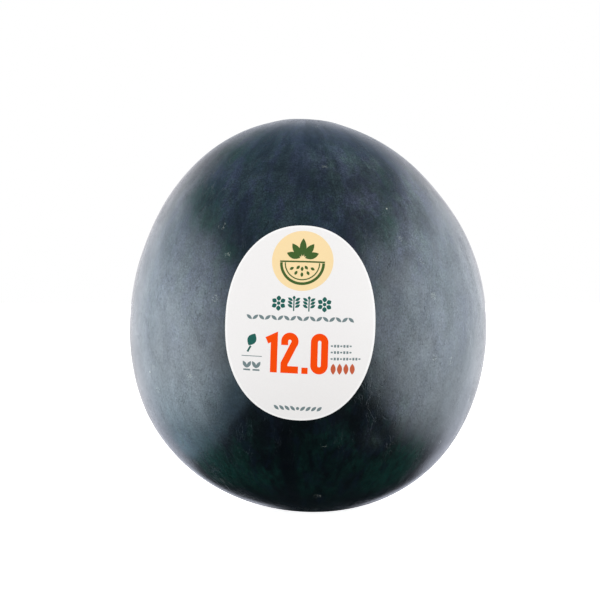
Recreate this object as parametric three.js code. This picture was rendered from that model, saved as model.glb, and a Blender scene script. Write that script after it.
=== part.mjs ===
import * as THREE from 'three';
import { ParametricGeometry } from 'three/addons/geometries/ParametricGeometry.js';

// A whole black-skinned watermelon, standing on its blossom end with its stem end on top.
// Millimetres, +Z up, the origin under its middle where it stands. The oval label faces -Y.
//
// The rind is one radius about the fruit's middle. It depends on `down`, the angle down from the top,
// and on `turn`, the angle about the upright axis, from +X toward +Y. Waves of those two angles make
// the fruit taller than it is wide, fuller below than above and a little off straight, as it grew.

const { PI, abs, acos, atan2, cos, exp, hypot, min, round, sign, sin } = Math;

// Driving size of the fruit: the mean radius of the rind
const MEAN_RADIUS = 128.5;

// How the rind departs from a ball, as shares of the mean radius
const LOW_MIDDLE = -0.0136;
const TALLNESS = 0.0476;
const TAPER = 0.0162;
const SQUARENESS = -0.002;
const LOW_WAIST = 0.003;
const SIDE_SHIFT = -0.0051;
const LEAN = -0.0092;
const SIDE_TAPER = -0.0032;
const FLAT_SHOULDER = -0.0064;

// A shallow flat that one shoulder, on the +X side, got from lying on the ground: its depth, how far
// down from the top its middle is, and its reach as an angle
const DENT_DEPTH = 1.3;
const DENT_DOWN = 0.854;
const DENT_REACH = 0.16;

// Shallow ribs that run from end to end
const RIBS = 10;
const RIB_HEIGHT = 0.35;
const FIRST_RIB_TURN = 0.4;

// Dimple at the stem end, with the low rim that rises around it
const DIMPLE_DEPTH = 4.2;
const DIMPLE_RADIUS = 12;

// The blossom end has settled flat by this much where it stands, somewhere below LOWER_PART
const SETTLED_BY = 1.2;
const LOWER_PART = 0.8 * PI;

// Trimmed stem: its outline as shares of its radius and height, from the collar at its foot to its cut
const STEM_RADIUS = 4.4;
const STEM_HEIGHT = 4;
const STEM_OUTLINE = [[1.25, 0], [1.1, 0.15], [1, 0.4], [0.96, 0.7], [1, 0.9], [0.86, 1]];
const STEM_RIDGES = 5;
const RIDGE_SHARE = 0.07;
const CUT_HOLLOW = 0.5;
const STEM_REACH_DOWN = 0.1 * PI;

// Oval paper label: half sizes along the rind, how far its outline is from an ellipse (2 is none),
// its middle as seen from the front, and how far it is turned clockwise
const LABEL_HALF_WIDTH = 48;
const LABEL_HALF_HEIGHT = 61.5;
const LABEL_POWER = 2.18;
const LABEL_X = -5.7;
const LABEL_Z = -1.3;
const LABEL_ROLL = THREE.MathUtils.degToRad(2);
const LABEL_THICKNESS = 0.6;

// Room left between pieces that touch, so that each stays a solid of its own
const GAP = 0.3;

// Faces around each piece, and rings of points from its low or inner end to its high or outer end
const MELON_FACES = [80, 54];
const STEM_FACES = [20, STEM_OUTLINE.length + 1];
const LABEL_FACES = [48, 21];
const CROWDING_AT_TOP = 0.6;
const HALVINGS = 40;

const RIND = { color: '#1b2a24', roughness: 0.36, metalness: 0 };
const DRY_STEM = { color: '#8a7450', roughness: 0.9, metalness: 0 };
const PAPER = { color: '#efeff0', roughness: 0.55, metalness: 0 };

// --- the rind's form

function stemDimple(fromAxis) {
  const reach = (fromAxis / DIMPLE_RADIUS) ** 2;
  return DIMPLE_DEPTH * (1 - reach) * exp(-reach);
}

function shoulderDent(down, turn) {
  const nearness = sin(down) * cos(turn) * sin(DENT_DOWN) + cos(down) * cos(DENT_DOWN);
  return DENT_DEPTH * exp(-2 * (1 - nearness) / DENT_REACH ** 2);
}

function rindRadius(down, turn) {
  const allRound = LOW_MIDDLE * cos(down) + TALLNESS * cos(2 * down)
    + TAPER * cos(3 * down) + SQUARENESS * cos(4 * down) + LOW_WAIST * cos(5 * down);
  const sideways = SIDE_SHIFT * sin(down) + LEAN * sin(2 * down)
    + SIDE_TAPER * sin(3 * down) + FLAT_SHOULDER * sin(4 * down);
  const smooth = MEAN_RADIUS * (1 + allRound + sideways * cos(turn));
  const rib = RIB_HEIGHT * cos(RIBS * (turn - FIRST_RIB_TURN)) * sin(down) ** 2;
  const dimple = down < PI / 2 ? stemDimple(smooth * sin(down)) : 0;
  return smooth + rib - dimple - shoulderDent(down, turn);
}

function rindPoint(down, turn) {
  const direction = new THREE.Vector3(sin(down) * cos(turn), sin(down) * sin(turn), cos(down));
  return direction.multiplyScalar(rindRadius(down, turn));
}

// The angle between low and high at which a value that grows from below zero passes it
function angleWhere(value, low, high) {
  for (let i = 0; i < HALVINGS; i += 1) {
    const middle = (low + high) / 2;
    if (value(middle) < 0) {
      low = middle;
    } else {
      high = middle;
    }
  }
  return high;
}

// A closed body of rings, whose first and last rings are points. pointAt gives ring `ring` at `turn`.
function ringedMesh(name, look, [around, rings], pointAt) {
  const place = (u, v, target) => target.copy(pointAt(2 * PI * u, round(v * rings)));
  const geometry = new ParametricGeometry(place, around, rings);
  geometry.computeVertexNormals();
  const mesh = new THREE.Mesh(geometry, new THREE.MeshStandardMaterial(look));
  mesh.name = name;
  return mesh;
}

// --- the fruit, with the flat spot that it stands on

const GROUND = SETTLED_BY - rindRadius(PI, 0);

function downToFlat(turn) {
  return angleWhere((down) => GROUND - rindPoint(down, turn).z, LOWER_PART, PI);
}

function makeMelon() {
  const rings = MELON_FACES[1];
  const flatMiddle = rindPoint(downToFlat(0), 0).lerp(rindPoint(downToFlat(PI), PI), 0.5);
  return ringedMesh('melon', RIND, MELON_FACES, (turn, ring) => {
    const share = (rings - ring) / (rings - 1);
    const crowded = share * (1 - CROWDING_AT_TOP * (1 - share));
    return ring === 0 ? flatMiddle : rindPoint(downToFlat(turn) * crowded, turn);
  });
}

// --- the trimmed stem, which stands in the dimple

function rindHeight(x, y) {
  const turn = atan2(y, x);
  const outward = (down) => hypot(rindPoint(down, turn).x, rindPoint(down, turn).y) - hypot(x, y);
  return rindPoint(angleWhere(outward, 0, STEM_REACH_DOWN), turn).z;
}

function makeStem() {
  const cutHeight = rindHeight(0, 0) + GAP + STEM_HEIGHT;
  return ringedMesh('stem_stub', DRY_STEM, STEM_FACES, (turn, ring) => {
    if (ring > STEM_OUTLINE.length) return new THREE.Vector3(0, 0, cutHeight - CUT_HOLLOW);
    const [wide, high] = ring === 0 ? [0, 0] : STEM_OUTLINE[ring - 1];
    const radius = STEM_RADIUS * wide * (1 + RIDGE_SHARE * cos(STEM_RIDGES * turn));
    const [x, y] = [radius * cos(turn), radius * sin(turn)];
    const foot = rindHeight(x, y) + GAP;
    return new THREE.Vector3(x, y, foot + (cutHeight - foot) * high);
  });
}

// --- the label, a thin oval sheet that follows the rind

const LABEL_CURVE = rindRadius(PI / 2, -PI / 2);

// Turns directions from the label's own axes (across, up and outward) to the fruit's
function labelTurn() {
  const outward = new THREE.Vector3(LABEL_X, -LABEL_CURVE, LABEL_Z).normalize();
  const across = new THREE.Vector3(0, 0, 1).cross(outward).normalize();
  const up = new THREE.Vector3().crossVectors(outward, across);
  const roll = new THREE.Matrix4().makeRotationZ(-LABEL_ROLL);
  return new THREE.Matrix4().makeBasis(across, up, outward).multiply(roll);
}

// The point of the sheet at this distance across and up from its middle, lifted off the rind
function onRind(across, up, lift, labelAxes) {
  const slope = hypot(across, up) / LABEL_CURVE;
  const way = atan2(up, across);
  const direction = new THREE.Vector3(sin(slope) * cos(way), sin(slope) * sin(way), cos(slope));
  direction.applyMatrix4(labelAxes);
  const radius = rindRadius(acos(direction.z), atan2(direction.y, direction.x));
  return direction.multiplyScalar(radius + lift);
}

function makeLabel() {
  const rings = LABEL_FACES[1];
  const labelAxes = labelTurn();
  const squared = (value) => sign(value) * abs(value) ** (2 / LABEL_POWER);
  return ringedMesh('label', PAPER, LABEL_FACES, (turn, ring) => {
    const share = min(ring, rings - ring) / ((rings - 1) / 2);
    const across = LABEL_HALF_WIDTH * squared(cos(turn)) * share;
    const up = LABEL_HALF_HEIGHT * squared(sin(turn)) * share;
    const lift = ring < rings / 2 ? GAP : GAP + LABEL_THICKNESS;
    return onRind(across, up, lift, labelAxes);
  });
}

const watermelon = new THREE.Group();
watermelon.add(makeMelon(), makeStem(), makeLabel());
watermelon.position.z = -GROUND;

export default watermelon;
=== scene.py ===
import math
from functools import partial
from types import SimpleNamespace

import bmesh
import bpy
from mathutils import Matrix, Vector, noise


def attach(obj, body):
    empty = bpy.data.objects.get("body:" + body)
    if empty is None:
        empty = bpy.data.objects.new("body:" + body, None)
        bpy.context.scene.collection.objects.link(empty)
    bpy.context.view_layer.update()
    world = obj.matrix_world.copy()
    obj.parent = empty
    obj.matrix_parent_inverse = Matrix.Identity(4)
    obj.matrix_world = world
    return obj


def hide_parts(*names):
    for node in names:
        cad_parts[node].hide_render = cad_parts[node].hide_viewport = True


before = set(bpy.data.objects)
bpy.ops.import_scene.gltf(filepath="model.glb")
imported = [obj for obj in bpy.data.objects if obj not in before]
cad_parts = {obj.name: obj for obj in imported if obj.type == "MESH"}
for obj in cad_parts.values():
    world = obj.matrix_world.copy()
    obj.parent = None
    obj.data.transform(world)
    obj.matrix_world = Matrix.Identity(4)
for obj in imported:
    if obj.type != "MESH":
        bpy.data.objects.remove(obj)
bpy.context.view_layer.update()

# A whole black-skinned watermelon on its blossom end, with its trimmed stem and its oval paper label.
# Metres, +Z up, the label facing -Y. The rind is one radius about the fruit's middle, for each angle
# `down` from the top and each `turn` about the upright axis, from +X toward +Y.

MM = 0.001

# The fruit's form: mean radius, and how the rind departs from a ball, as shares of that radius
MEAN_RADIUS = 128.5 * MM
LOW_MIDDLE, TALLNESS, TAPER, SQUARENESS, LOW_WAIST = -0.0136, 0.0476, 0.0162, -0.002, 0.003
SIDE_SHIFT, LEAN, SIDE_TAPER, FLAT_SHOULDER = -0.0051, -0.0092, -0.0032, -0.0064

# A shallow flat on one shoulder, shallow ribs from end to end, and the dimple at the stem end
DENT_DEPTH, DENT_DOWN, DENT_REACH = 1.3 * MM, 0.854, 0.16
RIBS, RIB_HEIGHT, FIRST_RIB_TURN = 10, 0.35 * MM, 0.4
DIMPLE_DEPTH, DIMPLE_RADIUS = 4.2 * MM, 12 * MM

# The blossom end has settled flat by this much where it stands, somewhere below LOWER_PART
SETTLED_BY = 1.2 * MM
LOWER_PART = 0.8 * math.pi

# Soft swells and hollows of the rind: how high they are and how far apart, coarse and fine
SWELLS = ((0.3 * MM, 30 * MM), (0.06 * MM, 11 * MM))

# Blossom scar in the middle of the flat spot
SCAR_RADIUS, SCAR_DEPTH = 4.5 * MM, 0.8 * MM
SCAR_LOBES, LOBE_SHARE = 7, 0.15

# Trimmed stem: outline as shares of its radius and height, from its sunken pith over the cut to its foot
STEM_RADIUS, STEM_HEIGHT = 4.4 * MM, 4 * MM
STEM_OUTLINE = ((0, 0.82), (0.28, 0.82), (0.36, 0.96), (0.7, 0.94), (0.88, 1), (0.99, 0.94), (1, 0.8),
                (0.95, 0.6), (1, 0.35), (1.12, 0.12), (1.3, 0.02), (1.36, -0.08), (0, -0.08))
STEM_RIDGES, RIDGE_SHARE = 5, 0.07
FIBRES, FIBRE_SHARE = 34, 0.02
STEM_REACH_DOWN = 0.1 * math.pi

# Oval label: half sizes along the rind, how far its outline is from an ellipse (2 is none), its middle
# from the front, its clockwise turn, and the share of its size in which its cut edge is rounded
LABEL_HALF_WIDTH, LABEL_HALF_HEIGHT = 48 * MM, 61.8 * MM
LABEL_POWER = 2.18
LABEL_X, LABEL_Z = -5.7 * MM, -1.6 * MM
LABEL_ROLL = math.radians(2)
EDGE_SHARE = 0.004
PAPER_LIFT, PAPER_THICKNESS = 0.08 * MM, 0.16 * MM

# Ink: how thick a film is, how much of it is sunk in the paper, and the grid that shapes are cut to, so
# that they can follow the rind
INK_FILM = 0.05 * MM
INK_SUNK = 0.2
PRINT_GRID = 3 * MM

# Faces around each grown piece and the label, and rings of them from top to bottom. The rind's rings are
# crowded at its dimple, and those past FLAT_FROM of the way make the flat spot.
MELON_RINGS, STEM_RINGS, LABEL_RINGS = (288, 180), (120, 72), (176, 96)
CROWDING_AT_TOP = 0.6
FLAT_FROM, FLAT_CROWDING = 0.94, 1.6

HALVINGS = 30
SHARP_ANGLE = math.radians(50)


# --- the rind's form

def direction(down, turn):
    return Vector((math.sin(down) * math.cos(turn), math.sin(down) * math.sin(turn), math.cos(down)))


def stem_dimple(from_axis):
    reach = (from_axis / DIMPLE_RADIUS) ** 2
    return DIMPLE_DEPTH * (1 - reach) * math.exp(-reach)


def shoulder_dent(down, turn):
    nearness = (math.sin(down) * math.cos(turn) * math.sin(DENT_DOWN)
                + math.cos(down) * math.cos(DENT_DOWN))
    return DENT_DEPTH * math.exp(-2 * (1 - nearness) / DENT_REACH ** 2)


def swell(down, turn):
    """Height of the soft unevenness that keeps what the rind mirrors from being smooth."""
    ball = MEAN_RADIUS * direction(down, turn)
    return math.sin(down) ** 2 * sum(high * noise.noise(ball / apart) for high, apart in SWELLS)


def rind_radius(down, turn):
    all_round = (LOW_MIDDLE * math.cos(down) + TALLNESS * math.cos(2 * down)
                 + TAPER * math.cos(3 * down) + SQUARENESS * math.cos(4 * down)
                 + LOW_WAIST * math.cos(5 * down))
    sideways = (SIDE_SHIFT * math.sin(down) + LEAN * math.sin(2 * down)
                + SIDE_TAPER * math.sin(3 * down) + FLAT_SHOULDER * math.sin(4 * down))
    smooth = MEAN_RADIUS * (1 + all_round + sideways * math.cos(turn))
    rib = RIB_HEIGHT * math.cos(RIBS * (turn - FIRST_RIB_TURN)) * math.sin(down) ** 2
    dimple = stem_dimple(smooth * math.sin(down)) if down < math.pi / 2 else 0
    return smooth + rib - dimple - shoulder_dent(down, turn) + swell(down, turn)


MIDDLE_HEIGHT = rind_radius(math.pi, 0) - SETTLED_BY


def rind_point(down, turn):
    return direction(down, turn) * rind_radius(down, turn) + Vector((0, 0, MIDDLE_HEIGHT))


def angle_where(value, low, high):
    """The angle from low to high at which a value that grows from below zero passes it."""
    for _ in range(HALVINGS):
        middle = (low + high) / 2
        low, high = (middle, high) if value(middle) < 0 else (low, middle)
    return high


def flat_edge(turn):
    """How far down the fruit meets the surface it stands on, at this turn."""
    return angle_where(lambda down: -rind_point(down, turn).z, LOWER_PART, math.pi)


def rind_height(x, y):
    """Height of the rind near the stem, at this place in plan."""
    turn = math.atan2(y, x)

    def outward(down):
        return rind_point(down, turn).xy.length - math.hypot(x, y)
    return rind_point(angle_where(outward, 0, STEM_REACH_DOWN), turn).z


# Where the wax has been rubbed off the front, down to the green, and pale patches, partly thick bloom
# and partly painted highlight from the softboxes: across and up from the middle as seen from the front,
# half width and half height in mm, and how much
RUBBED = ((-70, 77, 11, 16, 1), (-62, 60, 9, 9, 0.8), (-49, 108, 14, 9, 1), (-31, 121, 9, 5, 0.7),
          (48, 97, 9, 7, 0.5), (48, 80, 7, 9, 0.6), (50, 57, 9, 12, 0.9), (-51, 42, 8, 8, 0.8),
          (-64, -93, 10, 15, 1), (-46, -88, 12, 15, 0.3), (-54, -103, 15, 9, 0.8), (-27, -106, 14, 12, 0.6),
          (14, -73, 10, 9, 0.4), (33, -90, 14, 16, 0.25), (7, -113, 15, 9, 0.6), (44, -111, 10, 9, 0.6),
          (55, -100, 12, 11, 0.8), (67, -86, 11, 15, 0.85))
# Pale patches, partly painted highlight: several sit where the softboxes light the sides, and the last two
# are tall pale bands down the two lit sides.
BLOOM_AND_HIGHLIGHT_PATCHES = ((-40, 92, 26, 20, 0.15), (-82, -78, 9, 10, 1), (18, 102, 26, 15, 0.7), (37, 74, 8, 7, 0.5),
         (42, 100, 6, 4, 0.6), (67, 89, 8, 11, 0.6), (65, 73, 10, 9, 1), (66, 50, 12, 14, 0.8),
         (25, 78, 20, 18, 0.4), (-54, -75, 8, 8, 0.2), (40, -77, 7, 7, 0.8), (59, -56, 9, 8, 1),
         (79, -84, 6, 12, 0.5), (-84, 10, 5, 70, 0.4), (88, 10, 5, 70, 0.4))


def patch_cover(patches, place):
    """How much of a list of soft-edged patches on the front covers this place, from 0 to 1."""
    if place.y > 0:
        return 0
    x, z = place.x / MM, (place.z - MIDDLE_HEIGHT) / MM
    return min(1, sum(amount * math.exp(-((x - across) / wide) ** 2 - ((z - up) / high) ** 2)
                      for across, up, wide, high, amount in patches))


# --- pieces and materials in general

def linear(hex_colour):
    """An sRGB hex colour as the linear values that shaders take."""
    shares = [int(hex_colour[i:i + 2], 16) / 255 for i in (1, 3, 5)]
    return tuple(s / 12.92 if s <= 0.04045 else ((s + 0.055) / 1.055) ** 2.4 for s in shares) + (1,)


def node(tree, kind, inputs=(), **settings):
    """Adds one node with its settings. Its inputs come in the order of its live sockets, or by name. Each
    is a value, an output that feeds it, or a node whose first live output does."""
    made = tree.nodes.new("ShaderNode" + kind)
    for name, value in settings.items():
        setattr(made, name, value)
    named = isinstance(inputs, dict)
    sockets = made.inputs if named else [socket for socket in made.inputs if socket.enabled]
    for key, value in inputs.items() if named else enumerate(inputs):
        if isinstance(value, bpy.types.Node):
            value = next(output for output in value.outputs if output.enabled)
        if isinstance(value, bpy.types.NodeSocket):
            tree.links.new(value, sockets[key])
        else:
            sockets[key].default_value = value
    return made


# Settings that many nodes share: a soft step instead of a straight ramp, a mix of colours, and a mix of
# lights that may be brighter than white
SMOOTH = {"interpolation_type": "SMOOTHSTEP"}
COLOURS = {"data_type": "RGBA"}
LIGHTS = {"data_type": "RGBA", "clamp_factor": False}


def new_material(name):
    """A bare material, and the function that adds nodes to it."""
    material = bpy.data.materials.new(name)
    material.use_nodes = True
    material.node_tree.nodes.clear()
    return material, partial(node, material.node_tree)


def new_object(name, bm, material):
    """Turns a bmesh into an object of the scene."""
    mesh = bpy.data.meshes.new(name)
    bm.to_mesh(mesh)
    bm.free()
    mesh.materials.append(material)
    made = bpy.data.objects.new(name, mesh)
    bpy.context.scene.collection.objects.link(made)
    return made


def finish_piece(bm, name, material, replaced=None):
    """Turns a bmesh into a piece that rides on the fruit."""
    piece = new_object(name, bm, material)
    piece.data.shade_smooth()
    piece.data.set_sharp_from_angle(angle=SHARP_ANGLE)
    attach(piece, "root")
    if replaced:
        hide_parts(replaced)
    return piece


def rings_of_ball(bm, around, along):
    """A unit ball of rings, as (vertex, share of the way from its top to its bottom, turn)."""
    bmesh.ops.create_uvsphere(bm, u_segments=around, v_segments=along, radius=1)
    for vert in bm.verts:
        share = math.acos(max(-1, min(1, vert.co.z))) / math.pi
        yield vert, share, math.atan2(vert.co.y, vert.co.x)


def stepped(outline, share):
    """The point at this share of the way through an outline of evenly spaced points."""
    at = share * (len(outline) - 1)
    step = min(int(at), len(outline) - 2)
    rest = at - step
    return tuple(a + (b - a) * rest for a, b in zip(outline[step], outline[step + 1]))


# --- the rind's material

# Noise that the rind is drawn with: what each pattern follows, how wide and how long its grains are in
# mm, its detail, its roughness and how far it is warped. "grain" runs round and down the fruit, while
# "place" is the same every way. The finest, "grit", is as coarse as it needs to be to show.
RIND_PATTERNS = {
    "mottles": ("grain", 24, 44, 4, 0.55, 0.4),
    "ragged": ("grain", 9, 13, 5, 0.65, 0.5),
    "slate": ("grain", 11, 17, 4, 0.6, 0.4),
    "flecks": ("grain", 3.5, 6, 4, 0.65, 0),
    "patches": ("grain", 30, 38, 4, 0.6, 0.6),
    "clouds": ("grain", 15, 24, 2, 0.5, 0),
    "streaks": ("grain", 0.9, 9, 3, 0.65, 0),
    "dusty": ("place", 2.2, 2.2, 4, 0.7, 1),
    "grit": ("place", 0.9, 1.1, 2, 0.5, 0),
    "small_tinge": ("place", 6, 7, 4, 0.65, 0),
    "long_tinge": ("grain", 13, 50, 1, 0.5, 0),
    "growth": ("grain", 9, 15, 3, 0.6, 1.2),
    "strands": ("place", 4, 5, 3, 0.7, 0.8),
}

# Faint dark stripes from end to end: where they are, in degrees round the fruit, and half their width
STRIPE_TURNS = (-148, -98, -34, 22, 75, 128, 172)
STRIPE_REACH = math.radians(4.5)

# Nicks and scuffs lie in cells of this size. A share of the cells has one.
NICK_CELL, SCUFF_CELL = 17 * MM, 13 * MM

WAX_IOR = 1.45


def rind_patterns(add):
    """The rind's patterns and what covers it, by name."""
    rind = SimpleNamespace(place=add("TexCoord").outputs["Object"])
    rind.grain = add("Attribute", attribute_name="grain").outputs["Vector"]
    rind.rubbed = add("Attribute", attribute_name="rubbed").outputs["Fac"]
    rind.waxed = add("Attribute", attribute_name="waxed").outputs["Fac"]
    rind.height = add("SeparateXYZ", (rind.place,)).outputs["Z"]
    for name, (follows, across, along, detail, roughness, warp) in RIND_PATTERNS.items():
        sizes = (1 / (across * MM), 1 / (across * MM), 1 / (along * MM))
        scaled = add("VectorMath", (getattr(rind, follows), sizes), operation="MULTIPLY")
        drawn = add("TexNoise", {"Vector": scaled, "Scale": 1, "Detail": detail, "Roughness": roughness,
                                 "Distortion": warp})
        setattr(rind, name, drawn)
    return rind


def mottled_skin(add, rind):
    """The skin under the wax: nearly black, with green mottles, slate patches and black flecks. It is
    greenest where it is rubbed bare, and its green is darkened near the foot as painted shade. Also how
    green and how bare it is."""
    green = add("Math", (rind.mottles, 2.2, -2.45), operation="MULTIPLY_ADD")
    green = add("Math", (rind.ragged, 2.6, green), operation="MULTIPLY_ADD")
    green = add("Math", (rind.rubbed, 0.9, green), operation="MULTIPLY_ADD")
    # The pale patches, partly painted highlight, take green away.
    green = add("Math", (rind.waxed, -0.8, green), operation="MULTIPLY_ADD")
    green = add("MapRange", (green, -0.3, 0.75), **SMOOTH)
    # Painted shade: the green mottles darken towards the foot, where the fruit stands on the floor.
    clear_of_foot_shade = add("MapRange", (rind.height, 6 * MM, 36 * MM, 0.3, 1), **SMOOTH)
    green = add("Math", (green, clear_of_foot_shade), operation="MULTIPLY")
    skin = add("Mix", (green, linear("#04090d"), linear("#0a221f")), **COLOURS)
    bare = add("Math", (rind.rubbed, green), operation="MULTIPLY")
    below_top = add("MapRange", (rind.height, 60 * MM, 160 * MM, 1, 0.6), **SMOOTH)
    greenest = add("Math", (bare, below_top), operation="MULTIPLY")
    skin = add("Mix", (greenest, skin, linear("#0b302b")), **COLOURS)
    slate = add("MapRange", (rind.slate, 0.5, 0.62, 0, 0.6), **SMOOTH)
    skin = add("Mix", (slate, skin, linear("#0a1420")), **COLOURS)
    flecks = add("MapRange", (rind.flecks, 0.42, 0.62, 0, 0.5), **SMOOTH)
    return add("Mix", (flecks, skin, linear("#03090b")), **COLOURS), green, bare


def dark_stripes(add, rind):
    """How much of a stripe there is, with ragged edges."""
    around = add("VectorMath", (rind.grain, (1, 1, 0)), operation="MULTIPLY")
    stripes = 0
    for turn in map(math.radians, STRIPE_TURNS):
        middle = (math.cos(turn), math.sin(turn), 0)
        nearness = add("VectorMath", (around, middle), operation="DOT_PRODUCT")
        stripe = add("MapRange", (nearness, MEAN_RADIUS * math.cos(STRIPE_REACH), MEAN_RADIUS), **SMOOTH)
        stripes = add("Math", (stripe, stripes), operation="MAXIMUM")
    ragged = add("Math", (rind.ragged, 1.6, -0.8), operation="MULTIPLY_ADD")
    stripes = add("Math", (stripes, ragged), operation="ADD")
    return add("MapRange", (stripes, 0.3, 1), **SMOOTH)


def bloom_and_sheen_cover(add, rind, green, stripes):
    """How thick the dusty bloom lies, with painted light in it: more towards the top, partly as a painted
    sheen of the light from above, and in patches that are partly painted highlights, broken up by streaks,
    dust and grit.
    """
    thick = add("MapRange", (rind.patches, 0.36, 0.66, 0.2, 1), **SMOOTH)
    # Partly painted light: the bloom thickens towards the top as a painted sheen of the light from above,
    # and thins towards the bottom as painted shade.
    for value, low, high, at_low, at_high in ((rind.height, 50 * MM, 200 * MM, 0.1, 1),
                                              (green, 0.2, 1, 1, 0.6)):
        share = add("MapRange", (value, low, high, at_low, at_high), **SMOOTH)
        thick = add("Math", (thick, share), operation="MULTIPLY")
    # The pale patches, partly painted highlight, thicken the bloom, with ragged edges.
    waxed = add("MapRange", (rind.ragged, 0.4, 0.62, 0.35, 1), **SMOOTH)
    thick = add("Math", (rind.waxed, waxed, thick), operation="MULTIPLY_ADD")
    on_stripes = add("MapRange", (rind.height, 70 * MM, 120 * MM, 0, 0.2), **SMOOTH)
    thick = add("Math", (stripes, on_stripes, thick), operation="MULTIPLY_ADD")
    for value, low, high, at_low, at_high in ((rind.streaks, 0.35, 0.65, 0.85, 1),
                                              (rind.dusty, 0.35, 0.65, 0.6, 1),
                                              (rind.grit, 0.3, 0.7, 0.6, 1.3)):
        share = add("MapRange", (value, low, high, at_low, at_high), **SMOOTH)
        thick = add("Math", (thick, share), operation="MULTIPLY")
    return thick


def dust_and_highlight_colour(add, rind, bare):
    """The bloom's colour, from grey-green to grey-blue: greener where bare, and paler in the pale patches,
    which are partly thick bloom and partly painted highlight.
    """
    tinge = add("Math", (rind.small_tinge, rind.long_tinge), operation="ADD")
    tinge = add("MapRange", (tinge, 0.8, 1.2), **SMOOTH)
    dust = add("Mix", (tinge, linear("#475d61"), linear("#4a5474")), **COLOURS)
    dust = add("Mix", (bare, dust, linear("#466a58")), **COLOURS)
    # Paler colour for the pale patches: partly thick bloom, partly painted highlight.
    thick = add("Mix", (tinge, linear("#647d78"), linear("#6b758c")), **COLOURS)
    return add("Mix", (rind.waxed, dust, thick), **COLOURS)


def middle_line(add, pattern):
    """How far a pattern is from its middle value, which it passes along thin, winding lines."""
    off_middle = add("Math", (pattern, 0.5), operation="SUBTRACT")
    return add("Math", (off_middle,), operation="ABSOLUTE")


def growth_cracks(add, rind):
    """Hair-thin cracks that run in some parts of the rind."""
    cracks = add("MapRange", (middle_line(add, rind.growth), 0.016, 0), **SMOOTH)
    some_parts = add("MapRange", (rind.mottles, 0.38, 0.55), **SMOOTH)
    return add("Math", (cracks, some_parts), operation="MULTIPLY")


def nicked_and_scuffed(add, rind, strands, skin):
    """Small pale nicks, and scuffs of a few fine hairlines each."""
    cells = add("TexVoronoi", {"Vector": rind.place, "Scale": 1 / NICK_CELL})
    parts = add("SeparateColor", (cells.outputs["Color"],))
    chosen = add("MapRange", (parts.outputs["Red"], 0.7, 0.72, 0, 0.7), **SMOOTH)
    nicks = add("MapRange", (cells, 0.05, 0.02), **SMOOTH)
    nicks = add("Math", (nicks, chosen), operation="MULTIPLY")
    skin = add("Mix", (nicks, skin, linear("#c6cdbd")), **COLOURS)
    cells = add("TexVoronoi", {"Vector": rind.place, "Scale": 1 / SCUFF_CELL})
    parts = add("SeparateColor", (cells.outputs["Color"],))
    chosen = add("MapRange", (parts.outputs["Green"], 0.8, 0.82, 0, 0.4), **SMOOTH)
    scuffs = add("MapRange", (cells, 0.24, 0.16), **SMOOTH)
    scuffs = add("Math", (scuffs, chosen), operation="MULTIPLY")
    hairlines = add("MapRange", (strands, 0.02, 0.006), **SMOOTH)
    scuffs = add("Math", (scuffs, hairlines), operation="MULTIPLY")
    return add("Mix", (scuffs, skin, linear("#b4beb4")), **COLOURS)


def wax_film(add, rind, cracks, hairs, bare):
    """How glossy the wax is: more in cloudy patches, and less in cracks and where it is rubbed off."""
    film = add("MapRange", (rind.clouds, 0.3, 0.7, 0, 0.2), **SMOOTH)
    for value, low, high, most in ((rind.ragged, 0.3, 0.7, 0.08), (rind.dusty, 0.3, 0.7, 0.11),
                                   (rind.streaks, 0.35, 0.65, 0.08)):
        share = add("MapRange", (value, low, high, 0, most), **SMOOTH)
        film = add("Math", (film, share), operation="ADD")
    for value, share in ((rind.grit, 1), (cracks, -0.25), (hairs, -0.13), (bare, -0.38)):
        film = add("Math", (value, share, film), operation="MULTIPLY_ADD")
    return film


def rind_material():
    """Smooth black-green rind under its natural wax: green and slate mottles, faint darker stripes from
    end to end, a dusty blue-grey bloom that is thick in places and rubbed off in others, hair-thin
    growth cracks, small pale nicks and scuffs. Part of the pale bloom is painted light: a painted sheen
    that grows towards the top, and painted highlights in pale patches on the lit sides. The green is
    darker near the foot as painted shade. The wax film's own uneven gloss breaks up what it mirrors."""
    material, add = new_material("waxy_black_rind")
    rind = rind_patterns(add)
    skin, green, bare = mottled_skin(add, rind)
    stripes = dark_stripes(add, rind)
    striped = add("Math", (stripes, 0.8), operation="MULTIPLY")
    skin = add("Mix", (striped, skin, linear("#04060b")), **COLOURS)
    # The pale bloom colour, partly real bloom and partly painted sheen and highlight.
    bloom_and_sheen = bloom_and_sheen_cover(add, rind, green, stripes)
    dusted_and_sheened = add("Math", (bloom_and_sheen, 0.34), operation="MULTIPLY")
    skin = add("Mix", (dusted_and_sheened, skin, dust_and_highlight_colour(add, rind, bare)), **COLOURS)
    strands = middle_line(add, rind.strands)
    hairs = add("MapRange", (strands, 0.03, 0), **SMOOTH)
    cracks = growth_cracks(add, rind)
    darkened = add("Math", (cracks, 0.5), operation="MULTIPLY")
    skin = add("Mix", (darkened, skin, linear("#05090a")), **COLOURS)
    skin = nicked_and_scuffed(add, rind, strands, skin)

    relief = add("Math", (rind.grit, 0.024), operation="MULTIPLY")
    relief = add("Math", (rind.streaks, 0.01, relief), operation="MULTIPLY_ADD")
    relief = add("Math", (cracks, -0.03, relief), operation="MULTIPLY_ADD")
    bump = add("Bump", {"Height": relief, "Distance": MM, "Strength": 1})
    duller = add("MapRange", (bloom_and_sheen, 0, 1, 0.34, 0.42), **SMOOTH)
    film = wax_film(add, rind, cracks, hairs, bare)
    shader = add("BsdfPrincipled", {
        "Base Color": skin, "Roughness": duller, "IOR": WAX_IOR, "Specular IOR Level": 0.12, "Normal": bump,
        "Coat Weight": film, "Coat Roughness": 0.13, "Coat IOR": WAX_IOR, "Coat Normal": bump})
    add("OutputMaterial", (shader,))
    return material


# --- the other materials

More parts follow.
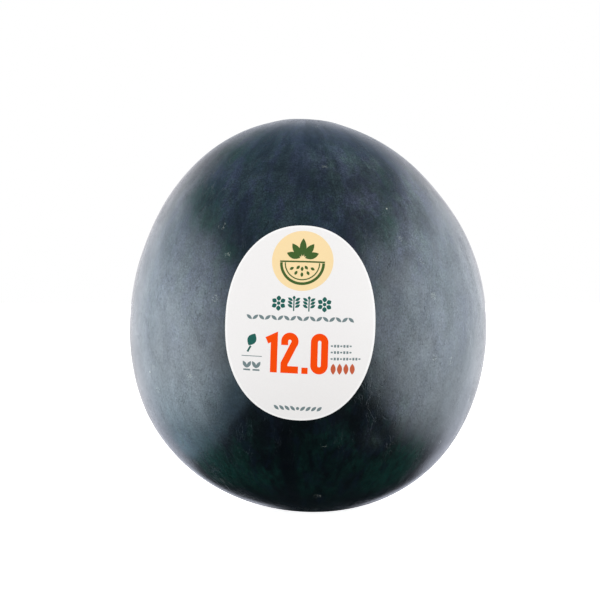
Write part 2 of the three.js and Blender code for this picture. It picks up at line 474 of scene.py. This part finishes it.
# Real sizes of their patterns
STALK_FIBRE_WIDTH, STALK_FIBRE_LENGTH, STALK_FIBRE_DEPTH = 0.5 * MM, 4 * MM, 0.35 * MM
PAPER_FIBRE, PAPER_FIBRE_DEPTH = 0.9 * MM, 0.012 * MM
# Painted highlight: the band along the label's cut edge in which the paper is whiter.
EDGE_HIGHLIGHT_BAND = (1.2 * MM, 1.6 * MM)
INK_GRAIN = 0.7 * MM


def stem_material():
    """Dried, corky stalk: dull tan fibres with darker cracks between them."""
    material, add = new_material("dry_corky_stalk")
    place = add("TexCoord").outputs["Object"]
    sizes = (1 / STALK_FIBRE_WIDTH, 1 / STALK_FIBRE_WIDTH, 1 / STALK_FIBRE_LENGTH)
    drawn = add("VectorMath", (place, sizes), operation="MULTIPLY")
    fibres = add("TexNoise", {"Vector": drawn, "Scale": 1, "Detail": 4})
    ramp = add("ValToRGB", (fibres,))
    stops = ramp.color_ramp.elements
    stops[0].position, stops[0].color = 0.36, linear("#4a3a24")
    stops[1].position, stops[1].color = 0.64, linear("#b09a6c")
    stops.new(0.5).color = linear("#86714a")
    bump = add("Bump", {"Height": fibres, "Distance": STALK_FIBRE_DEPTH, "Strength": 1})
    shader = add("BsdfPrincipled", {"Base Color": ramp, "Roughness": 0.88, "IOR": 1.45, "Normal": bump})
    add("OutputMaterial", (shader,))
    return material


def paper_material():
    """Coated sticker paper: a clean white with the faintest fibre in it, a soft calendered gloss, and a
    painted highlight: a whiter band along its cut edge.
    """
    material, add = new_material("coated_sticker_paper")
    place = add("TexCoord").outputs["Object"]
    fibres = add("TexNoise", {"Vector": place, "Scale": 1 / PAPER_FIBRE, "Detail": 4})
    tinted = add("Mix", (fibres, linear("#f1efed"), linear("#f7f5f3")), **COLOURS)
    inset = add("Attribute", attribute_name="inset").outputs["Fac"]
    # Painted highlight: whiter paper along the cut edge.
    past_edge_highlight = add("MapRange", (inset, *EDGE_HIGHLIGHT_BAND))
    colour = add("Mix", (past_edge_highlight, linear("#fcfbf9"), tinted), **COLOURS)
    bump = add("Bump", {"Height": fibres, "Distance": PAPER_FIBRE_DEPTH, "Strength": 1})
    shader = add("BsdfPrincipled", {"Base Color": colour, "Roughness": 0.5, "IOR": 1.5,
                                    "Specular IOR Level": 0.2, "Normal": bump})
    add("OutputMaterial", (shader,))
    return material


def ink_material(name, thin, full):
    """Offset printing ink: even colour that thins a little between the paper's fibres."""
    material, add = new_material(name)
    place = add("TexCoord").outputs["Object"]
    cover = add("TexNoise", {"Vector": place, "Scale": 1 / INK_GRAIN, "Detail": 3})
    colour = add("Mix", (cover, linear(thin), linear(full)), **COLOURS)
    shader = add("BsdfPrincipled", {"Base Color": colour, "Roughness": 0.6, "IOR": 1.5,
                                    "Specular IOR Level": 0.05})
    add("OutputMaterial", (shader,))
    return material


# --- the fruit

def scar_height(from_middle, turn):
    lobed = SCAR_RADIUS * (1 + LOBE_SHARE * math.cos(SCAR_LOBES * turn))
    return SCAR_DEPTH * math.exp(-(from_middle / lobed) ** 2)


def make_melon(material):
    middle = rind_point(flat_edge(0), 0).lerp(rind_point(flat_edge(math.pi), math.pi), 0.5)
    edges = {}
    bm = bmesh.new()
    grain = bm.verts.layers.float_vector.new("grain")
    rubbed = bm.verts.layers.float.new("rubbed")
    waxed = bm.verts.layers.float.new("waxed")
    for vert, share, turn in rings_of_ball(bm, *MELON_RINGS):
        column = round(turn, 4)
        if column not in edges:
            edges[column] = flat_edge(turn)
        reached = min(1, share / FLAT_FROM)
        down = edges[column] * reached * (1 - CROWDING_AT_TOP * (1 - reached))
        vert.co = rind_point(down, turn)
        if share > FLAT_FROM:
            outward = ((1 - share) / (1 - FLAT_FROM)) ** FLAT_CROWDING
            vert.co = middle.lerp(vert.co, outward)
            vert.co.z = scar_height((vert.co - middle).xy.length, turn)
        vert[grain] = MEAN_RADIUS * Vector((math.cos(turn), math.sin(turn), down))
        vert[rubbed] = patch_cover(RUBBED, vert.co)
        # How much of the pale patches, partly painted highlight, covers this place.
        vert[waxed] = patch_cover(BLOOM_AND_HIGHLIGHT_PATCHES, vert.co)
    return finish_piece(bm, "rind", material, "melon")


def make_stem(material):
    top = rind_height(0, 0) + STEM_HEIGHT
    bm = bmesh.new()
    for vert, share, turn in rings_of_ball(bm, *STEM_RINGS):
        wide, high = stepped(STEM_OUTLINE, share)
        ridged = 1 + RIDGE_SHARE * math.cos(STEM_RIDGES * turn) + FIBRE_SHARE * math.cos(FIBRES * turn)
        radius = STEM_RADIUS * wide * ridged
        x, y = radius * math.cos(turn), radius * math.sin(turn)
        foot = rind_height(x, y)
        vert.co = (x, y, foot + (top - foot) * high)
    return finish_piece(bm, "stalk", material, "stem_stub")


# --- the label

LABEL_CURVE = rind_radius(math.pi / 2, -math.pi / 2)


def label_axes():
    """Turns directions from the label's own axes (across, up and outward) to the fruit's."""
    outward = Vector((LABEL_X, -LABEL_CURVE, LABEL_Z)).normalized()
    across = Vector((0, 0, 1)).cross(outward).normalized()
    up = outward.cross(across)
    return Matrix((across, up, outward)).transposed() @ Matrix.Rotation(-LABEL_ROLL, 3, "Z")


LABEL_AXES = label_axes()


def on_label(across, up, lift):
    """The point this far across and up from the label's middle, lifted this far off the rind."""
    slope = math.hypot(across, up) / LABEL_CURVE
    way = math.atan2(up, across)
    facing = LABEL_AXES @ direction(slope, way)
    radius = rind_radius(math.acos(facing.z), math.atan2(facing.y, facing.x))
    return facing * (radius + lift) + Vector((0, 0, MIDDLE_HEIGHT))


def squared(value):
    return math.copysign(abs(value) ** (2 / LABEL_POWER), value)


def make_label(material):
    """The sheet's upper face, its rounded cut edge and its under face are the rings of a flattened ball."""
    bm = bmesh.new()
    inset = bm.verts.layers.float.new("inset")
    for vert, share, turn in rings_of_ball(bm, *LABEL_RINGS):
        from_edge = abs(1 - 2 * share)
        round_edge = min(1, from_edge / EDGE_SHARE)
        reach = 1 - max(from_edge, EDGE_SHARE) * round_edge ** 2
        face = 0.5 + math.copysign(0.5 * math.sin(round_edge * math.pi / 2), 0.5 - share)
        across = LABEL_HALF_WIDTH * squared(math.cos(turn))
        up = LABEL_HALF_HEIGHT * squared(math.sin(turn))
        vert.co = on_label(across * reach, up * reach, PAPER_LIFT + PAPER_THICKNESS * face)
        vert[inset] = (1 - reach) * math.hypot(across, up)
    return finish_piece(bm, "paper_label", material, "label")


# --- shapes to print, drawn flat in millimetres across and up from the label's middle

def placed(x, y, wide=1, high=1, turned=0):
    """Where a shape goes, its half sizes and its turn in degrees."""
    return (Matrix.Translation((x, y, 0)) @ Matrix.Rotation(math.radians(turned), 4, "Z")
            @ Matrix.Diagonal((wide, high, 1, 1)))


def disc(bm, place, sides=32):
    bmesh.ops.create_circle(bm, cap_ends=True, segments=sides, radius=1, matrix=place)


def bar(bm, place):
    bmesh.ops.create_grid(bm, x_segments=1, y_segments=1, size=1, matrix=place)


def leaf(bm, place):
    """A leaf with a point at each end of its length, which runs across."""
    made = bmesh.ops.create_circle(bm, cap_ends=True, segments=20, radius=1)
    for vert in made["verts"]:
        vert.co.y *= abs(vert.co.y)
    bmesh.ops.transform(bm, matrix=place, verts=made["verts"])


def arc(x, y, radius, start, end, steps=20):
    """Points along an arc from one angle to another, in degrees."""
    angles = (math.radians(start + (end - start) * i / steps) for i in range(steps + 1))
    return [(x + radius * math.cos(a), y + radius * math.sin(a)) for a in angles]


def band(bm, points, width):
    """A band of even width along a line of points, closed where its ends meet."""
    path = [Vector((x, y, 0)) for x, y in points]
    last = len(path) - 1
    closed = (path[0] - path[last]).length < 1e-6
    made = bmesh.ops.create_grid(bm, x_segments=last, y_segments=1, size=1)
    for vert in made["verts"]:
        step = round((vert.co.x + 1) / 2 * last)
        at = path[step]
        before = path[step - 1] if step else path[-2] if closed else 2 * at - path[1]
        after = path[step + 1] if step < last else path[1] if closed else 2 * at - path[-2]
        into, out = (at - before).normalized(), (after - at).normalized()
        along = (into + out).normalized()
        across = Vector((-along.y, along.x, 0)) / along.dot(out)
        vert.co = at + across * (width / 2 * vert.co.y)


def cut_to_grid(bm):
    """Cuts flat shapes into small pieces, so that they can follow the rind."""
    for axis in (Vector((1, 0, 0)), Vector((0, 1, 0))):
        along = [vert.co.dot(axis) for vert in bm.verts]
        for k in range(math.ceil(min(along) / PRINT_GRID), math.floor(max(along) / PRINT_GRID) + 1):
            parts = bm.verts[:] + bm.edges[:] + bm.faces[:]
            bmesh.ops.bisect_plane(bm, geom=parts, dist=1e-7, plane_co=axis * k * PRINT_GRID, plane_no=axis)


def print_shapes(name, draw, material, films_below):
    """Lays what `draw` draws onto the label as a film of ink."""
    bm = bmesh.new()
    draw(bm)
    bmesh.ops.remove_doubles(bm, verts=bm.verts, dist=1e-4)
    bmesh.ops.scale(bm, vec=(MM, MM, MM), verts=bm.verts)
    cut_to_grid(bm)
    bm.normal_update()
    bmesh.ops.reverse_faces(bm, faces=[face for face in bm.faces if face.normal.z < 0])
    bmesh.ops.solidify(bm, geom=bm.faces[:], thickness=INK_FILM)
    low = min(vert.co.z for vert in bm.verts)
    under = PAPER_LIFT + PAPER_THICKNESS + INK_FILM * (films_below - INK_SUNK) - low
    for vert in bm.verts:
        vert.co = on_label(vert.co.x, vert.co.y, under + vert.co.z)
    return finish_piece(bm, name, material)


# --- what is printed: plain leaves, a melon slice, rules, and a number

BADGE_X, BADGE_Y, BADGE_RADIUS = 0.2, 38.4, 19.6
SLICE_Y, SLICE_RADIUS = 36.7, 13.4
BOLD, THIN = 1.7, 0.7
TITLE_Y, GARLAND_Y, SPROUT_Y, FOOT_WREATH_Y, SEED_ROW_Y = 10.7, 1.6, -28.2, -54, -28.9
FIGURES_TOP, FIGURES_BASE, FIGURES_HEAVY = -7.3, -32.2, 4.3


def draw_badge_ground(bm):
    disc(bm, placed(BADGE_X, BADGE_Y, BADGE_RADIUS, BADGE_RADIUS), 96)


def draw_slice(bm):
    """Half a melon under a fan of leaves."""
    band(bm, arc(BADGE_X, SLICE_Y, SLICE_RADIUS, 180, 360, 32), BOLD)
    band(bm, arc(BADGE_X, SLICE_Y, SLICE_RADIUS - 2.5, 180, 360, 32), THIN)
    bar(bm, placed(BADGE_X, SLICE_Y + 0.75, SLICE_RADIUS + BOLD / 2, 0.5))
    for from_middle, angles in ((7.6, (-150, -120, -90, -60, -30)), (4, (-130, -90, -50))):
        for angle in angles:
            x, y = arc(BADGE_X, SLICE_Y, from_middle, angle, angle, 1)[0]
            leaf(bm, placed(x, y, 1.5, 0.9, angle))
    for angle, length in ((20, 4.6), (55, 5.3), (90, 6), (125, 5.3), (160, 4.6)):
        x, y = arc(BADGE_X, SLICE_Y + 2.6, 1.6 + length, angle, angle, 1)[0]
        leaf(bm, placed(x, y, length, 2.2, angle))


def draw_flower(bm, x, y, size):
    disc(bm, placed(x, y, 0.24 * size, 0.24 * size), 16)
    for petal in range(6):
        angle = 30 + 60 * petal
        middle = arc(x, y, 0.66 * size, angle, angle, 1)[0]
        leaf(bm, placed(*middle, 0.36 * size, 0.3 * size, angle))


def draw_sprig(bm, x, y, size):
    """An upright stalk with three pairs of leaves and one at its tip."""
    bar(bm, placed(x, y - 0.2 * size, 0.08 * size, 0.8 * size))
    leaf(bm, placed(x, y + 0.8 * size, 0.26 * size, 0.2 * size, 90))
    for level in (-0.55, -0.1, 0.35):
        for side in (-1, 1):
            middle = (x + side * 0.5 * size, y + (level + 0.22) * size)
            leaf(bm, placed(*middle, 0.4 * size, 0.19 * size, side * 32))


def draw_title(bm):
    draw_flower(bm, -13.6, TITLE_Y, 4.7)
    draw_sprig(bm, -4, TITLE_Y, 4.6)
    draw_sprig(bm, 5.4, TITLE_Y, 4.6)
    draw_flower(bm, 15, TITLE_Y, 4.7)
    leaf(bm, placed(-29.6, -12.6, 4.2, 2.9, 62))
    bar(bm, placed(-31.2, -18.4, 2.1, 0.6, 62))


def draw_garland(bm):
    for i in range(17):
        leaf(bm, placed(-32 + 4 * i, GARLAND_Y, 2.3, 1.0, 38 if i % 2 else -38))


def draw_small_print(bm):
    bar(bm, placed(-29.4, -22.8, 6.5, 0.22))
    for x in (-32.3, -26.3):
        for side in (-1, 1):
            leaf(bm, placed(x + side * 1.3, SPROUT_Y, 2.5, 1.1, side * 58))
        bar(bm, placed(x, SPROUT_Y - 3.2, 2.2, 0.5))
    for i in range(4):
        for side in (-1, 1):
            leaf(bm, placed(BADGE_X + side * (3.1 + 3.4 * i), FOOT_WREATH_Y, 2.1, 0.95, side * 42))
    disc(bm, placed(BADGE_X, FOOT_WREATH_Y, 1, 1), 16)


def draw_fine_rows(bm):
    for y, count in ((-14.7, 7), (-18.6, 7), (-22.6, 10)):
        for i in range(count):
            bar(bm, placed(20.3 + 1.95 * i, y, 0.62, 0.8 if i % 3 else 0.45))


def draw_number(bm):
    """The number 12.0 in tall, narrow, heavy figures."""
    base, heavy = FIGURES_BASE, FIGURES_HEAVY
    high, low = FIGURES_TOP - heavy / 2, base + heavy / 2
    band(bm, [(-20, high - 3.2), (-15.3, high - 0.9), (-15.3, base)], heavy)
    band(bm, [(-8.8, high - 5.6)] + arc(-5.6, high - 3.2, 3.2, 180, -38, 24)
         + [(-8.8, low + 3.6), (-8.8, low), (-0.1, low)], heavy)
    bar(bm, placed(3.9, base + 1.9, 1.9, 1.9))
    rim = arc(12.7, high - 3.2, 3.2, 0, 180) + arc(12.7, low + 3.2, 3.2, 180, 360)
    band(bm, rim + rim[:1], heavy)


def draw_seed_row(bm):
    for i in range(4):
        leaf(bm, placed(21.4 + 4 * i, SEED_ROW_Y, 3.4, 1.6, 90))


# --- the studio

# Floor: its radius in metres, how far below the fruit it lies, its faces and its paper's grain
FLOOR_RADIUS, FLOOR_SIDES = 60, 96
FLOOR_GAP = 0.1 * MM
SEAMLESS_GRAIN = 2 * MM

# Camera: lens and sensor in mm, how far it sees in metres, and where it is from the fruit's middle
CAMERA_LENS, SENSOR_WIDTH, CLIP_END = 100, 36, 200
CAMERA_X, CAMERA_DISTANCE, CAMERA_RISE = -5.5 * MM, 1149 * MM, 11.4 * MM

# Colours of the room that the rind mirrors, and of the light that falls on matt surfaces
WHITE, BLACK = (1, 1, 1, 1), (0, 0, 0, 1)
ROOM_BELOW = (0.0, 0.004, 0.006, 1)
ROOM_ABOVE = (0.21, 0.36, 0.55, 1)
ROOM_ABOVE_BEHIND = (0.39, 0.47, 0.61, 1)
ROOM_BACK = (1.05, 1.04, 1.1, 1)
ROOM_BACK_LOW = (0.92, 0.97, 1.14, 1)
ROOM_CARD = (0.78, 1.22, 1.5, 1)
SCATTERED_BELOW = (0.3, 0.3, 0.3, 1)
SCATTERED_ABOVE = (1.02, 1.02, 1.03, 1)

# Where the parts of the room begin and where they are full. Directions are X aside, Y behind and Z up,
# each from -1 to 1, and a slope is how far up for how far aside.
CEILING = (-0.3, 0.45)
CEILING_BESIDE, CEILING_BEHIND = (0.3, 0.5), (0.35, 0.85)
CARD_FOOT, CARD_TOP, CARD_SIDE = (-1.3, -1.0), (-0.1, -0.6), (-0.3, -0.6)
WALL_BEHIND, WALL_TOP, WALL_FOOT, WALL_FLOOR = (0.4, 0.8), (0.68, 0.38), (-0.46, -0.27), (-0.58, -0.44)
WALL_FOOT_DROP, WALL_FOOT_TILT, WALL_TOP_TILT, WALL_TILT_UNTIL = (0.28, 0.42, 0, 0.11), -0.06, 0.3, 0.05
WALL_DIMMER_ABOVE = (1.7, 0.7, 0.56, 1)
WALL_BLUER_BELOW = (-0.08, -0.34)
WALL_GAP, WALL_GAP_TILT, WALL_GAP_TOP = (0.03, 0.1), -0.25, (-0.15, 0.05)
SCATTERED_RANGE = (-1.0, -0.55)

# The pair of softboxes: colour and radiance, how bright they are from the front (-1) round to the back
# (1), and between which slopes, with the ways in which those slopes change round the fruit
SOFTBOX_COLOUR = (0.89, 1.01, 1.12, 1)
SOFTBOX_RADIANCE = 6.5
SOFTBOX_ROUND = ((-0.9, 0), (-0.8, 1.35), (-0.67, 3.05), (-0.5, 4.85), (-0.3, 6.1), (-0.1, 6.45),
                 (0.08, 5.9), (0.25, 4.8), (0.44, 3.4), (0.58, 2.5), (0.71, 1.4), (0.78, 1.05),
                 (0.85, 0.75), (0.91, 0.28), (0.96, 0))
SIDE_DIFFERENCE, SIDES_ALIKE = 0.07, (0.75, 0.45)
FOOT_START, FOOT_FULL, FOOT_TILT, FOOT_RISE = -1.18, -0.15, -0.13, (-0.5, 0.3)
TOP_START, TOP_FULL, TOP_TILT = 1.15, 0.05, 0.26
TOP_RAISED, RAISED_FROM, RAISED_UNTIL = 0.4, (0.35, 0.65), (0.95, 0.7)


def make_floor(material):
    """A pale, even studio floor, out to where the camera sees it end."""
    bm = bmesh.new()
    bmesh.ops.create_circle(bm, cap_ends=True, segments=FLOOR_SIDES, radius=FLOOR_RADIUS)
    floor = new_object("studio_floor", bm, material)
    floor.location.z = -FLOOR_GAP
    floor.visible_glossy = False
    floor.visible_diffuse = False
    floor.visible_shadow = False


def floor_material():
    """White seamless paper, lit from all sides until its own texture is gone."""
    material, add = new_material("lit_seamless_paper")
    place = add("TexCoord").outputs["Object"]
    fibres = add("TexNoise", {"Vector": place, "Scale": 1 / SEAMLESS_GRAIN})
    colour = add("Mix", (fibres, linear("#fafafa"), linear("#ffffff")), **COLOURS)
    shader = add("BsdfPrincipled", {
        "Base Color": colour, "Roughness": 0.9, "Specular IOR Level": 0.1,
        "Emission Color": linear("#ffffff"), "Emission Strength": 0.9})
    add("OutputMaterial", (shader,))
    material.cycles.emission_sampling = "NONE"
    return material


def within(add, *edges):
    """How far a direction is within some soft edges, from 0 to 1. Each edge is a value, where it starts
    and where it is full."""
    share = 1
    for value, start, full in edges:
        step = add("MapRange", (value, start, full), **SMOOTH)
        share = add("Math", (share, step), operation="MULTIPLY")
    return share


def back_wall(add, aside, behind, up, outward, slope):
    """How much of the pale wall behind there is. Its foot is lower at the sides, its top falls to the
    right, and its lower middle is dark."""
    foot = add("MapRange", (outward, *WALL_FOOT_DROP), **SMOOTH)
    foot = add("Math", (foot, up), operation="ADD")
    to_left = add("Math", (aside, 0), operation="MINIMUM")
    foot = add("Math", (to_left, WALL_FOOT_TILT, foot), operation="MULTIPLY_ADD")
    top = add("Math", (aside, WALL_TILT_UNTIL), operation="MINIMUM")
    top = add("Math", (top, WALL_TOP_TILT, up), operation="MULTIPLY_ADD")
    beside_gap = add("Math", (aside, WALL_GAP_TILT, outward), operation="MULTIPLY_ADD")
    beside_gap = add("MapRange", (beside_gap, *WALL_GAP), **SMOOTH)
    above_gap = add("MapRange", (up, *WALL_GAP_TOP), **SMOOTH)
    off_gap = add("Math", (beside_gap, above_gap), operation="MAXIMUM")
    dimmer = add("MapRange", (slope, *WALL_DIMMER_ABOVE), **SMOOTH)
    wall = within(add, (behind, *WALL_BEHIND), (top, *WALL_TOP), (foot, *WALL_FOOT), (up, *WALL_FLOOR))
    for share in (off_gap, dimmer):
        wall = add("Math", (wall, share), operation="MULTIPLY")
    return wall


def mirrored_room(add, aside, behind, up, outward, slope):
    """A dark floor, a dim bluish ceiling that is brighter behind and at the right, a low card at the
    left, and a pale wall behind that is bluer near its foot."""
    beside = add("MapRange", (aside, *CEILING_BESIDE), **SMOOTH)
    far_back = add("MapRange", (behind, *CEILING_BEHIND), **SMOOTH)
    brighter = add("Math", (beside, far_back), operation="MAXIMUM")
    ceiling = add("Mix", (brighter, ROOM_ABOVE, ROOM_ABOVE_BEHIND), **LIGHTS)
    room = add("Mix", (within(add, (up, *CEILING)), ROOM_BELOW, ceiling), **LIGHTS)
    card = within(add, (slope, *CARD_FOOT), (slope, *CARD_TOP), (aside, *CARD_SIDE))
    room = add("Mix", (card, room, ROOM_CARD), **LIGHTS)
    wall = back_wall(add, aside, behind, up, outward, slope)
    low = within(add, (up, *WALL_BLUER_BELOW))
    wall_colour = add("Mix", (low, ROOM_BACK, ROOM_BACK_LOW), **LIGHTS)
    return add("Mix", (wall, room, wall_colour), **LIGHTS)


def softbox_brightness(add, aside, behind):
    """How bright the softboxes are round the fruit. The right one is a little further back."""
    uneven = add("Math", (aside, within(add, (behind, *SIDES_ALIKE))), operation="MULTIPLY")
    round_side = add("Math", (uneven, SIDE_DIFFERENCE, behind), operation="MULTIPLY_ADD")
    ramp = add("ValToRGB", (add("Math", (round_side, 0.5, 0.5), operation="MULTIPLY_ADD"),))
    stops = ramp.color_ramp.elements
    stops[0].position, stops[1].position = 0, 1
    for along, bright in SOFTBOX_ROUND:
        share = bright / SOFTBOX_RADIANCE
        stops.new((along + 1) / 2).color = (share, share, share, 1)
    stops[0].color = stops[len(stops) - 1].color = BLACK
    return add("Math", (ramp, SOFTBOX_RADIANCE), operation="MULTIPLY")


def softbox_light(add, aside, behind, slope):
    """The softboxes' light: a tall, soft-edged box at each side. The boxes reach higher at the back."""
    top = add("Math", (aside, TOP_TILT, TOP_START), operation="MULTIPLY_ADD")
    raised = within(add, (behind, *RAISED_FROM), (behind, *RAISED_UNTIL))
    top = add("Math", (raised, TOP_RAISED, top), operation="MULTIPLY_ADD")
    to_front = add("Math", (behind, FOOT_RISE[0]), operation="MULTIPLY")
    to_back = add("Math", (behind, FOOT_RISE[1]), operation="MULTIPLY")
    foot = add("Math", (to_front, to_back), operation="MAXIMUM")
    foot = add("Math", (foot, FOOT_START), operation="ADD")
    foot = add("Math", (aside, FOOT_TILT, foot), operation="MULTIPLY_ADD")
    tall = within(add, (slope, foot, FOOT_FULL), (slope, top, TOP_FULL))
    glow = add("Math", (softbox_brightness(add, aside, behind), tall), operation="MULTIPLY")
    return add("Mix", (glow, BLACK, SOFTBOX_COLOUR), **LIGHTS)


def make_world():
    """A white studio. What the rind mirrors of it is a room with a pair of softboxes; what falls on matt
    surfaces is even, and weaker from below."""
    world = bpy.data.worlds.new("studio")
    bpy.context.scene.world = world
    world.use_nodes = True
    world.node_tree.nodes.clear()
    add = partial(node, world.node_tree)
    aside, behind, up = add("SeparateXYZ", (add("TexCoord").outputs["Generated"],)).outputs
    path = add("LightPath").outputs
    outward = add("Math", (aside,), operation="ABSOLUTE")
    not_zero = add("Math", (outward, 0.01), operation="MAXIMUM")
    slope = add("Math", (up, not_zero), operation="DIVIDE")
    room = mirrored_room(add, aside, behind, up, outward, slope)
    boxes = softbox_light(add, aside, behind, slope)
    mirrored = add("VectorMath", (room, boxes), operation="ADD")
    higher = within(add, (up, *SCATTERED_RANGE))
    scattered = add("Mix", (higher, SCATTERED_BELOW, SCATTERED_ABOVE), **LIGHTS)
    light = add("Mix", (path["Is Glossy Ray"], scattered, mirrored), **LIGHTS)
    light = add("Mix", (path["Is Camera Ray"], light, WHITE), **LIGHTS)
    background = add("Background", {"Color": light, "Strength": 1})
    add("OutputWorld", (background,))


def make_camera():
    """A level camera in front of the label."""
    data = bpy.data.cameras.new("camera")
    data.lens, data.sensor_width, data.clip_end = CAMERA_LENS, SENSOR_WIDTH, CLIP_END
    camera = bpy.data.objects.new("camera", data)
    bpy.context.scene.collection.objects.link(camera)
    camera.location = (CAMERA_X, -CAMERA_DISTANCE, MIDDLE_HEIGHT + CAMERA_RISE)
    camera.rotation_euler = (math.pi / 2, 0, 0)
    bpy.context.scene.camera = camera


# --- the scene

# Offset inks: their colours where they lie thin and where they are full
INKS = {
    "cream": ("#fce4b4", "#fadca4"),
    "dark_green": ("#4d6a35", "#3c5a2c"),
    "teal": ("#2a6a61", "#1f574e"),
    "grey": ("#7e8f91", "#6c7e80"),
    "orange": ("#fb5208", "#fa4602"),
    "rust": ("#cc6646", "#c05c3c"),
}

# What is printed: its name, what draws it, its ink, and on how many films of ink it lies
PRINTED = (
    ("badge_ground", draw_badge_ground, "cream", 0),
    ("badge_slice", draw_slice, "dark_green", 1),
    ("title_ornaments", draw_title, "teal", 0),
    ("leaf_garland", draw_garland, "grey", 0),
    ("small_print_leaves", draw_small_print, "grey", 0),
    ("fine_rows", draw_fine_rows, "grey", 0),
    ("number", draw_number, "orange", 0),
    ("seed_row", draw_seed_row, "rust", 0),
)

make_melon(rind_material())
make_stem(stem_material())
make_label(paper_material())
inks = {name: ink_material(f"{name}_offset_ink", *tints) for name, tints in INKS.items()}
for name, draw, ink, films_below in PRINTED:
    print_shapes(name, draw, inks[ink], films_below)

make_floor(floor_material())
make_world()
make_camera()
bpy.context.scene.view_settings.view_transform = "Standard"
